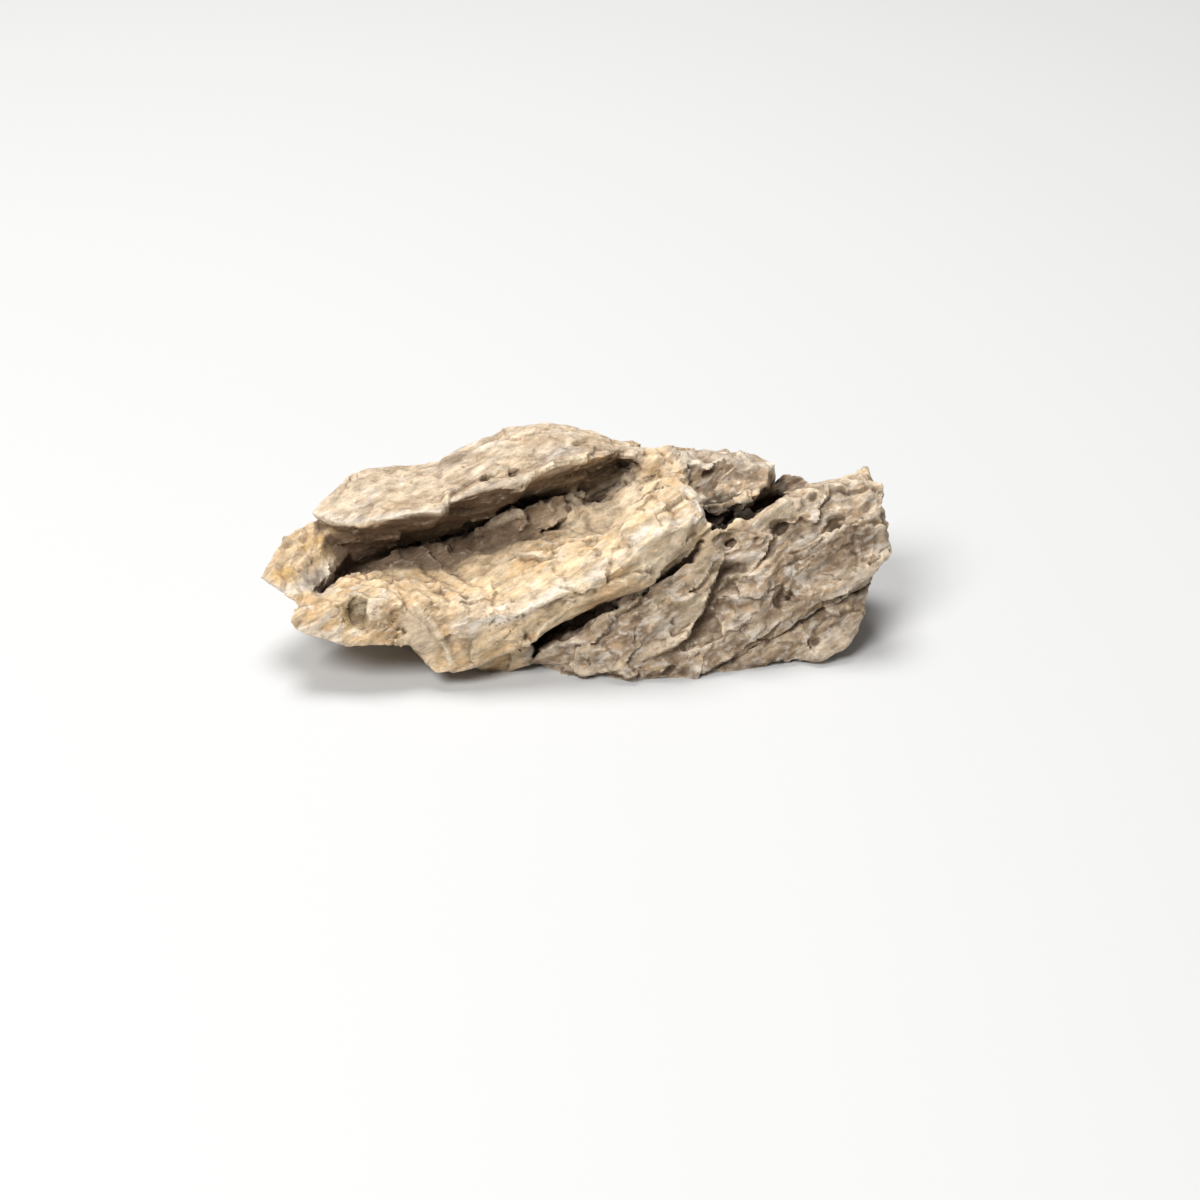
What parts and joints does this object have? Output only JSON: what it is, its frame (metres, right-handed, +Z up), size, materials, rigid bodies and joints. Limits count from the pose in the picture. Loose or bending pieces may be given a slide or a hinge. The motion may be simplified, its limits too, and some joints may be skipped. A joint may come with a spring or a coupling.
{
  "type": "aquarium rock",
  "caption": "Layered natural stone with tilted beds, an overhanging top bed, a worn dish and deep crevices, lying on a flat spot.",
  "frame": {"origin": "middle of the bounding box's base, on the surface the stone rests on", "axes": "+X along the stone's length to the viewer's right, +Y away from the viewer, +Z up"},
  "size_m": [0.154, 0.0762, 0.0444],
  "materials": {
    "stone": "dry, rough, weathered limestone, cream to grey-brown, with pale broken rims and dark crevices"
  },
  "bodies": {
    "root": {"stone": "stone"}
  },
  "joints": []
}
